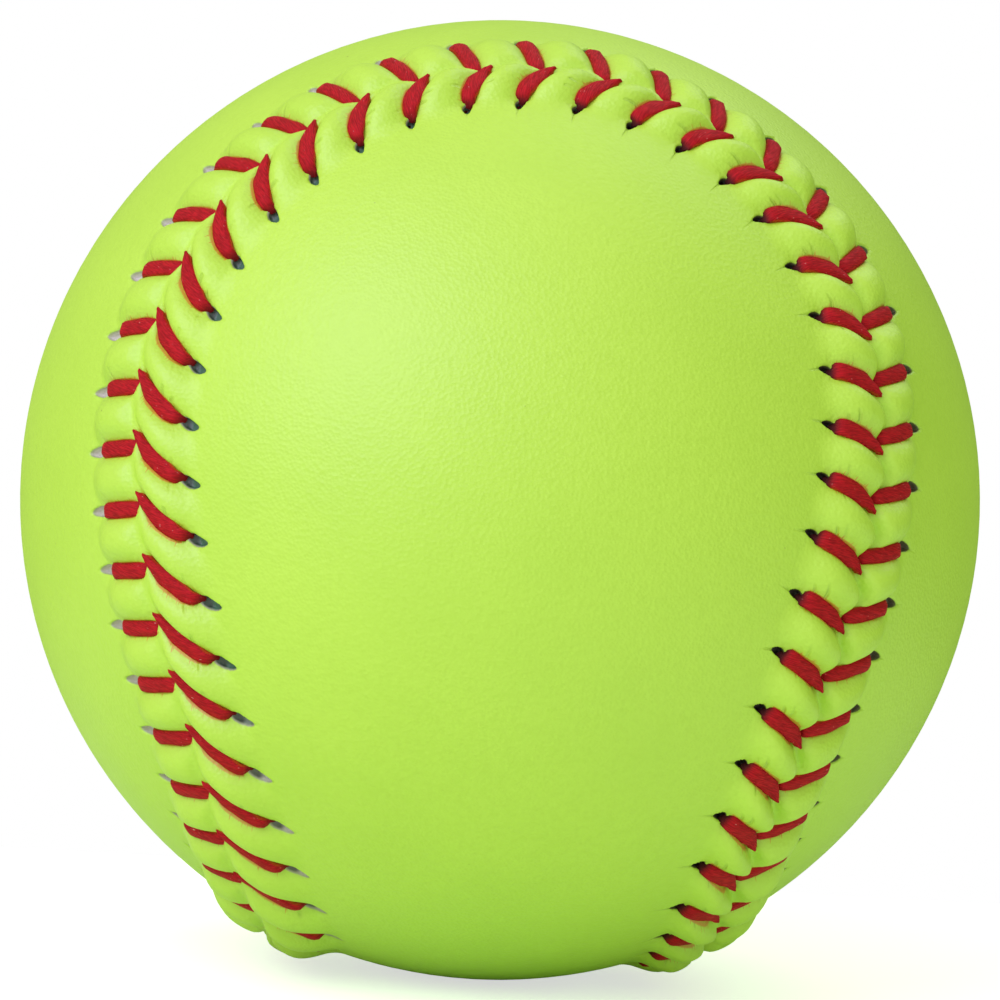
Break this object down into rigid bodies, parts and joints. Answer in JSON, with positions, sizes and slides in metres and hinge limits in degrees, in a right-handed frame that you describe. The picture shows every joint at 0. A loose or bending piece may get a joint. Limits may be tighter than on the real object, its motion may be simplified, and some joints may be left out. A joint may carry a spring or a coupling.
{
  "type": "softball",
  "caption": "Leather-covered softball with a solid core, interlocking figure-eight cover panels and a raised seam of V-shaped thread stitches.",
  "frame": {"origin": "centre of the ball", "axes": "+Z through the middle of panel b's waist, -Z through the middle of panel a's waist, -Y through the middle of the lobe of panel a that the picture shows"},
  "size_m": [0.097, 0.097, 0.097],
  "materials": {
    "core": "matt polyurethane foam with a moulded skin",
    "leather_yellow": "fine-grained optic-yellow leather, low sheen",
    "thread_red": "waxed red thread, pulled flat"
  },
  "bodies": {
    "root": {"polyurethane_core": "core", "cover_panel_a": "leather_yellow", "cover_panel_b": "leather_yellow", "stitch_thread_a": "thread_red", "stitch_thread_b": "thread_red"}
  },
  "joints": []
}
